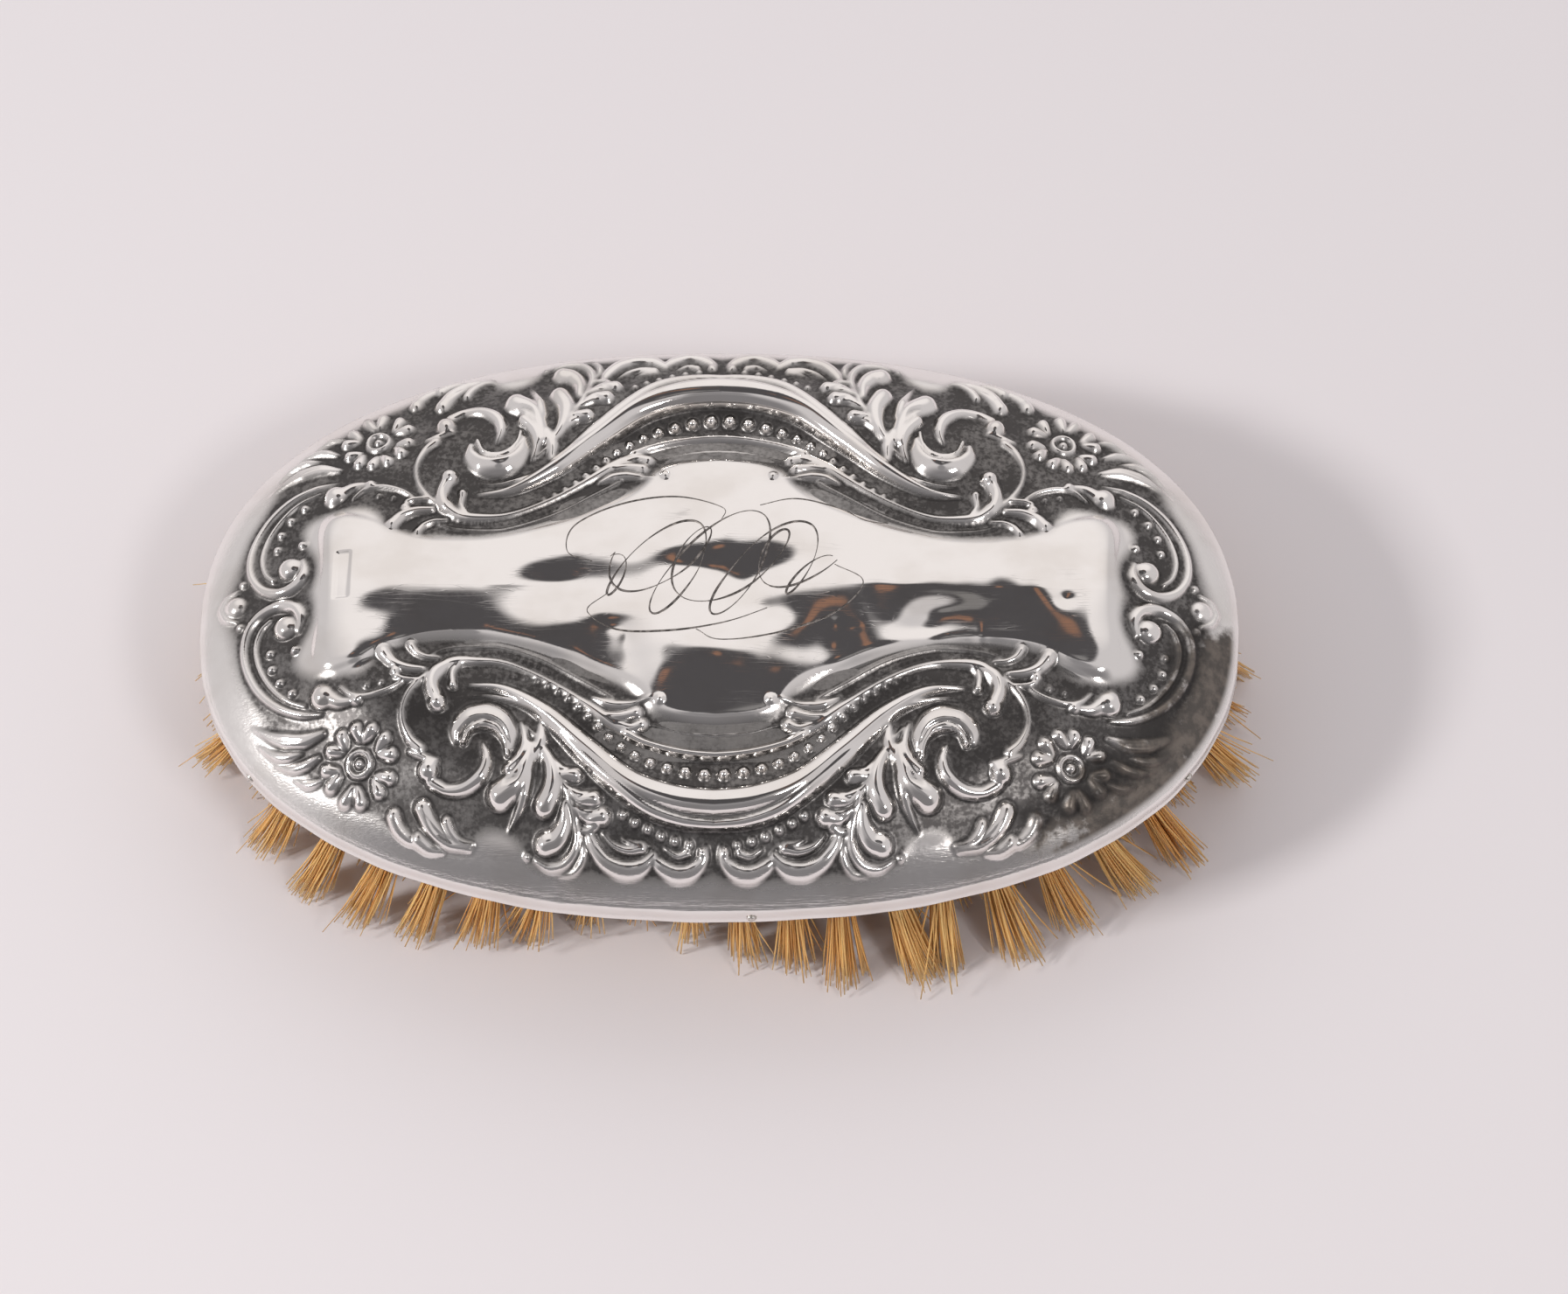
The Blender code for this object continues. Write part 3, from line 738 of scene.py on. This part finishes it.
def build_pitch(maps, material):
    """Setting cement that fills the relief from behind, flat where it meets the block."""
    outline = oval_outline(np.linspace(0, 2 * math.pi, PITCH_SIDES, endpoint=False))
    points = [np.column_stack((outline * 0.885, np.full(PITCH_SIDES, PITCH_BOTTOM)))]
    for share in PITCH_SHARES:
        ring = outline * share
        height = maps.height(ring[:, 0], ring[:, 1]) - WALL - PITCH_GAP
        points.append(np.column_stack((ring, np.maximum(height, PITCH_BOTTOM + 0.1))))
    loops = number_loops(0, len(points), PITCH_SIDES)
    faces = [ring_faces(loops), loops[0][None, ::-1], loops[-1][None, :]]
    pitch = make_mesh("cement_filling", np.concatenate(points), faces, material)
    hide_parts("pitch_filler")
    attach(pitch, "root")


# ---- tufts

def tufts_of(node):
    """(root centre, tip centre) of each tuft, read from the CAD row's own points."""
    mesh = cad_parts[node].data
    points = np.empty(len(mesh.vertices) * 3)
    mesh.vertices.foreach_get("co", points)
    points = points.reshape(-1, 3) @ np.array(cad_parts[node].matrix_world)[:3, :3].T / MM
    low, high = node_box(node)

    def groups(level):
        level = level[np.argsort(level[:, 1])]
        gaps = np.flatnonzero(np.diff(level[:, 1]) > TUFT_GAP) + 1
        return [part.mean(axis=0) for part in np.split(level, gaps)]

    roots = groups(points[points[:, 2] > high.z - 0.05])
    tips = groups(points[points[:, 2] < low.z + 0.05])
    return list(zip(roots, tips))


def build_bristle_row(node, random, material):
    """The bristles of one row's tufts, each a thin tapered shaft that starts inside the board."""
    points, faces, shade, along_all = [], [], [], []
    root_height = node_box(node)[1].z - 0.05
    mouth = BOARD_BOTTOM + 0.2
    shaft_rings = len(BRISTLE_TAPER)
    corner = 2 * math.pi * np.arange(BRISTLE_SIDES) / BRISTLE_SIDES
    golden = math.pi * (3 - math.sqrt(5))
    start = 0
    for root, tip in tufts_of(node):
        tuft_lean = random.normal(0, (0.9, 0.6))
        worn = math.exp(-((tip[0] - WORN_AT) / WORN_REACH) ** 2) if tip[1] < 0 else 0.0
        tuft_lean[1] += WORN_SHIFT * worn
        if tip[1] < 0:
            tuft_lean[1] -= FRONT_SPLAY * (1 - worn) * (tip[1] / HALF_WIDTH) ** 2
        tuft_tone = random.normal(0, 0.15)
        tuft_spread = random.uniform(0.7, 1.2)
        tuft_wear = abs(random.normal(0, 0.7))
        for i in range(BRISTLES_PER_TUFT):
            if random.random() < WORN_AWAY * worn:
                continue
            radius_share = math.sqrt((i + 0.5) / BRISTLES_PER_TUFT)
            place = np.array((math.cos(i * golden), math.sin(i * golden))) * radius_share
            foot = root[:2] + ROOT_SPREAD * place
            end = tip[:2] + tuft_lean + TUFT_SPREAD * tuft_spread * place + random.normal(0, 0.5, 2)
            drop = tuft_wear + abs(random.normal(0, 0.9))
            if random.random() < STRAY_SHARE:
                end += random.normal(0, 1.7, 2)
                drop += random.uniform(0.2, 2.5)
            bend = random.normal(0, 0.35, 2)
            reach = BRISTLE_LEVELS[:, None]
            path = foot + (end - foot) * (0.75 * reach + 0.25 * reach ** 2) + bend * (reach * (1 - reach))
            heights = mouth + (drop + 0.02 - mouth) * BRISTLE_LEVELS
            path = np.vstack((foot, path))
            heights = np.concatenate(([root_height], heights))
            taper = BRISTLE_RADIUS * random.uniform(0.8, 1.15) * BRISTLE_TAPER
            turn = random.uniform(0, 2 * math.pi)
            rings = np.stack((path[:, 0, None] + taper[:, None] * np.cos(corner + turn),
                              path[:, 1, None] + taper[:, None] * np.sin(corner + turn),
                              np.broadcast_to(heights[:, None], (shaft_rings, BRISTLE_SIDES))), axis=-1)
            points.append(rings.reshape(-1, 3))
            faces.append(ring_faces(number_loops(start, shaft_rings, BRISTLE_SIDES)[::-1]))
            tone = np.clip(0.68 + tuft_tone + random.normal(0, 0.2), 0, 1)
            shade.append(np.full(shaft_rings * BRISTLE_SIDES, tone))
            along_all.append(np.repeat(np.concatenate(([0], BRISTLE_LEVELS)), BRISTLE_SIDES))
            start += shaft_rings * BRISTLE_SIDES
    firsts = np.arange(0, start, shaft_rings * BRISTLE_SIDES)
    lasts = firsts + shaft_rings * BRISTLE_SIDES - 1
    tips = np.stack([lasts - k for k in range(BRISTLE_SIDES)], axis=1)
    tops = np.stack([firsts + k for k in range(BRISTLE_SIDES)], axis=1)
    piece = make_mesh(node.replace("row", "tufts"), np.concatenate(points), [*faces, tips, tops], material,
                      {"tone": np.concatenate(shade), "along": np.concatenate(along_all)})
    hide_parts(node)
    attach(piece, "root")


# ---- materials

class Nodes:
    """A node tree under construction."""

    def __init__(self, tree):
        self.tree = tree

    def add(self, kind, inputs=None, **settings):
        node = self.tree.nodes.new(kind)
        for key, value in settings.items():
            setattr(node, key, value)
        for key, value in (inputs or {}).items():
            self.feed(node.inputs[key], value)
        return node

    def feed(self, socket, value):
        if isinstance(value, bpy.types.NodeSocket):
            self.tree.links.new(value, socket)
        else:
            socket.default_value = value

    def ramp(self, value, low, high, out_low=0.0, out_high=1.0):
        return self.add("ShaderNodeMapRange", {"Value": value, "From Min": low, "From Max": high,
                                               "To Min": out_low, "To Max": out_high},
                        interpolation_type='SMOOTHSTEP').outputs["Result"]

    def mix(self, share, first, second):
        node = self.add("ShaderNodeMix", data_type='RGBA')
        self.feed(node.inputs["Factor"], share)
        colours = [socket for socket in node.inputs if socket.type == 'RGBA']
        self.feed(colours[0], first)
        self.feed(colours[1], second)
        return [socket for socket in node.outputs if socket.type == 'RGBA'][0]


class Graph(Nodes):
    """A Principled material under construction."""

    def __init__(self, name):
        self.material = bpy.data.materials.new(name)
        self.material.use_nodes = True
        super().__init__(self.material.node_tree)
        self.shader = self.tree.nodes["Principled BSDF"]

    def attribute(self, name):
        return self.add("ShaderNodeAttribute", attribute_name=name).outputs["Fac"]

    def maths(self, operation, *values, clamp=False):
        return self.add("ShaderNodeMath", dict(enumerate(values)), operation=operation,
                        use_clamp=clamp).outputs[0]

    def noise(self, scale, detail=3.0, roughness=0.55, stretch=(1, 1, 1), turn=(0, 0, 0)):
        """Noise whose features are about 1 / scale metres across, stretched by stretch."""
        place = self.add("ShaderNodeTexCoord").outputs["Object"]
        turned = self.add("ShaderNodeMapping", {"Vector": place, "Scale": stretch, "Rotation": turn})
        return self.add("ShaderNodeTexNoise", {"Vector": turned.outputs[0], "Scale": scale,
                                               "Detail": detail, "Roughness": roughness}).outputs["Fac"]

    def bump(self, height, strength, distance, normal=None):
        inputs = {"Height": height, "Strength": strength, "Distance": distance}
        if normal is not None:
            inputs["Normal"] = normal
        return self.add("ShaderNodeBump", inputs).outputs["Normal"]

    def finish(self, **sockets):
        for key, value in sockets.items():
            self.feed(self.shader.inputs[key.replace("_", " ")], value)
        return self.material


def colour(red, green, blue):
    return (red, green, blue, 1.0)


def make_silver_material():
    """Antique silver: bright where hands and cloth rub it, black sulphide left in the recesses."""
    g = Graph("antique_silver")
    oxide = g.attribute("oxide")
    rim = g.attribute("rim")
    plaque = g.attribute("plaque")
    stain = g.attribute("stain")
    cloud = g.noise(260, 4)
    fine = g.noise(1900, 3)
    mottled = g.maths('MULTIPLY', oxide, g.ramp(cloud, 0.25, 0.75, 0.88, 1.08))
    mottled = g.maths('MULTIPLY', mottled, g.ramp(fine, 0.3, 0.8, 0.92, 1.12), clamp=True)
    veil = g.ramp(g.noise(95, 3, stretch=(1, 1.4, 1)), 0.42, 0.72, 0.0, 0.55)
    ragged = g.maths('MULTIPLY_ADD', g.noise(300, 5, 0.6), 2.4, -1.2)
    tarnish = g.ramp(g.maths('ADD', stain, g.maths('MULTIPLY', ragged, stain)), 0.35, 0.8)
    tarnish = g.maths('MULTIPLY', tarnish, g.ramp(rim, 0.995, 0.98))
    base = g.mix(veil, colour(0.93, 0.90, 0.875), colour(0.78, 0.735, 0.69))
    crust = g.mix(g.ramp(g.noise(700, 5), 0.35, 0.65),
                  colour(0.045, 0.035, 0.027), colour(0.15, 0.122, 0.098))
    base = g.mix(g.maths('MULTIPLY', tarnish, 0.9), base, crust)
    base = g.mix(mottled, base, colour(0.085, 0.08, 0.078))
    rough = g.ramp(fine, 0.2, 0.8, 0.04, 0.09)
    band = g.ramp(rim, 0.86, 0.95)
    rough = g.maths('ADD', rough, g.maths('MULTIPLY', band, 0.14))
    rough = g.maths('ADD', rough, g.maths('MULTIPLY', mottled, 0.34))
    rough = g.maths('ADD', rough, g.maths('MULTIPLY', tarnish, 0.3), clamp=True)
    brushed = g.noise(1.0, 2, stretch=(260, 5200, 5200))
    normal = g.bump(g.maths('MULTIPLY', brushed, g.maths('MULTIPLY_ADD', band, 0.9, 0.012)), 0.4, 0.00007)
    normal = g.bump(g.maths('MULTIPLY', fine, mottled), 0.2, 0.00006, normal)
    scratch = g.noise(1.0, 1, stretch=(90, 1700, 1700), turn=(0, 0, 0.6))
    hairline = g.ramp(g.maths('ABSOLUTE', g.maths('SUBTRACT', scratch, 0.5)), 0.0, 0.012, 1.0, 0.0)
    normal = g.bump(g.maths('MULTIPLY', hairline, plaque), 0.035, 0.00005, normal)
    return g.finish(Base_Color=base, Roughness=rough, Metallic=1.0, Normal=normal)


def make_grained_material(name, noise, spread, first, second, rough, bump, metallic=0.0):
    """One noise that mottles two colours, the roughness and a fine bump."""
    g = Graph(name)
    grain = g.noise(*noise)
    base = g.mix(g.ramp(grain, *spread), colour(*first), colour(*second))
    return g.finish(Base_Color=base, Metallic=metallic, Roughness=g.ramp(grain, 0.2, 0.8, *rough),
                    Normal=g.bump(grain, *bump))


def make_bristle_material():
    """Natural bristle: ochre shafts that differ from hair to hair, paler and worn at the tips, with painted
    shade darkening them near the board.
    """
    g = Graph("natural_bristle")
    tone = g.attribute("tone")
    along = g.attribute("along")
    base = g.mix(tone, colour(0.76, 0.35, 0.085), colour(1.0, 0.66, 0.26))
    base = g.mix(g.ramp(along, 0.8, 1.0, 0.0, 0.45), base, colour(0.95, 0.72, 0.38))
    # Painted shade: the shafts darken towards the board, where the silver rim shades them.
    base = g.mix(g.ramp(along, 0.3, 0.0, 0.0, 0.25), base, colour(0.36, 0.16, 0.05))
    streak = g.noise(1.0, 2, stretch=(5000, 5000, 500))
    base = g.mix(g.ramp(streak, 0.35, 0.75, 0.0, 0.2), base, colour(0.55, 0.27, 0.08))
    normal = g.bump(streak, 0.2, 0.00003)
    return g.finish(Base_Color=base, Roughness=0.42, Specular_IOR_Level=0.4, Normal=normal,
                    Subsurface_Weight=0.12, Subsurface_Radius=(0.001, 0.0006, 0.0003))


def make_wood_material(name, light, dark, varnish):
    """Close-grained wood with its grain along X."""
    g = Graph(name)
    grain = g.noise(1.0, 4, 0.6, stretch=(60, 900, 900))
    fibre = g.noise(1.0, 3, 0.6, stretch=(400, 6000, 6000))
    base = g.mix(g.ramp(grain, 0.3, 0.7), light, dark)
    base = g.mix(g.ramp(fibre, 0.5, 0.8, 0.0, 0.5), base, tuple(0.5 * c for c in dark[:3]) + (1.0,))
    rough = g.ramp(fibre, 0.2, 0.8, varnish, varnish + 0.2)
    normal = g.bump(fibre, 0.3, 0.00008)
    return g.finish(Base_Color=base, Roughness=rough, Normal=normal)


def make_floor_material():
    g = Graph("pale_floor")
    cloud = g.noise(3.0, 2)
    base = g.mix(cloud, colour(0.80, 0.765, 0.785), colour(0.83, 0.795, 0.81))
    return g.finish(Base_Color=base, Roughness=0.75, Specular_IOR_Level=0.2)


# ---- stage, lights and camera

def build_floor(material):
    points = [(along * FLOOR_HALF, across * FLOOR_HALF, FLOOR_HEIGHT)
              for along, across in ((-1, -1), (1, -1), (1, 1), (-1, 1))]
    floor = make_mesh("floor", points, [[(0, 1, 2, 3)]], material, smooth=False)


def add_softbox(name, azimuth, elevation, width, height, power, tint):
    """A rectangular soft light aimed at the brush. Azimuth 0 is towards +X, 90 towards +Y."""
    a, e = math.radians(azimuth), math.radians(elevation)
    away = Vector((math.cos(a) * math.cos(e), math.sin(a) * math.cos(e), math.sin(e)))
    data = bpy.data.lights.new(name, 'AREA')
    data.shape = 'RECTANGLE'
    data.size = width
    data.size_y = height
    data.energy = power
    data.color = tint
    light = bpy.data.objects.new(name, data)
    light.location = away * LIGHT_DISTANCE + LIGHT_TARGET
    light.rotation_mode = 'QUATERNION'
    light.rotation_quaternion = away.to_track_quat('Z', 'Y')
    bpy.context.scene.collection.objects.link(light)


def build_world():
    """A pale studio with a dark ceiling over the brush, which the silver picks up."""
    world = bpy.data.worlds.new("studio")
    bpy.context.scene.world = world
    world.use_nodes = True
    nodes = Nodes(world.node_tree)
    nodes.tree.nodes.clear()
    place = nodes.add("ShaderNodeTexCoord").outputs["Generated"]
    sky = colour(*SKY_COLOUR)
    for towards, solid_to, gone_at, tint in SKY_PATCHES:
        dot = nodes.add("ShaderNodeVectorMath", {0: place, 1: Vector(towards).normalized()},
                        operation='DOT_PRODUCT').outputs["Value"]
        share = nodes.ramp(dot, math.cos(math.radians(gone_at)), math.cos(math.radians(solid_to)))
        sky = nodes.mix(share, sky, colour(*tint))
    background = nodes.add("ShaderNodeBackground", {"Color": sky, "Strength": WORLD_STRENGTH})
    nodes.add("ShaderNodeOutputWorld", {"Surface": background.outputs[0]})


def build_camera():
    azimuth, elevation, roll = (math.radians(v) for v in (VIEW_AZIMUTH, VIEW_ELEVATION, VIEW_ROLL))
    forward = Vector((-math.sin(azimuth) * math.cos(elevation), math.cos(azimuth) * math.cos(elevation),
                      -math.sin(elevation)))
    level = Vector((math.cos(azimuth), math.sin(azimuth), 0))
    up = level.cross(forward)
    right = math.cos(roll) * level + math.sin(roll) * up
    top = -math.sin(roll) * level + math.cos(roll) * up
    place = VIEW_TARGET - (TARGET_RIGHT * right + TARGET_UP * top + VIEW_DISTANCE * forward)
    data = bpy.data.cameras.new("camera")
    data.lens = LENS
    data.sensor_width = 36.0
    data.clip_start = 0.01
    data.clip_end = 50.0
    camera = bpy.data.objects.new("camera", data)
    axes = Matrix((right, top, -forward)).transposed().to_4x4()
    camera.matrix_world = Matrix.Translation(place * MM) @ axes
    bpy.context.scene.collection.objects.link(camera)
    bpy.context.scene.camera = camera


def dress_node(node, material):
    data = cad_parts[node].data
    data.materials.clear()
    data.materials.append(material)


def main():
    maps = build_quarter()
    build_silver(maps, make_silver_material())
    build_flourish(maps, make_grained_material(
        "engraved_silver", (1500, 3), (0.35, 0.7), (0.10, 0.09, 0.085), (0.36, 0.33, 0.31),
        (0.3, 0.5), (0.2, 0.00003), metallic=1.0))
    build_pitch(maps, make_grained_material(
        "setting_cement", (900, 5, 0.65), (0.35, 0.7), (0.035, 0.02, 0.012), (0.12, 0.07, 0.045),
        (0.35, 0.7), (0.5, 0.0002)))
    random = np.random.default_rng(SEED)
    bristle = make_bristle_material()
    for node in sorted(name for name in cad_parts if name.startswith("bristle_row_")):
        build_bristle_row(node, random, bristle)
    for node, name, light, dark, varnish in (
            ("bristle_board", "board_wood", colour(0.42, 0.25, 0.13), colour(0.25, 0.13, 0.06), 0.35),
            ("brush_block", "block_wood", colour(0.4, 0.24, 0.13), colour(0.24, 0.13, 0.07), 0.5)):
        dress_node(node, make_wood_material(name, light, dark, varnish))
    pin = make_grained_material(
        "pin_metal", (3500, 3), (0.4, 0.75), (0.75, 0.72, 0.68), (0.3, 0.26, 0.22),
        (0.22, 0.42), (0.2, 0.00004), metallic=1.0)
    for node in sorted(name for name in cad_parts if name.startswith("rim_pin_")):
        build_pin(node, pin)
    build_floor(make_floor_material())
    build_world()
    add_softbox("key_light", 198, 37, 0.22, 0.2, KEY_POWER, (1.0, 0.98, 0.97))
    add_softbox("fill_light", -47, 50, 0.26, 0.22, FILL_POWER, (1.0, 0.97, 0.96))
    build_camera()
    bpy.context.scene.view_settings.view_transform = 'Standard'


main()
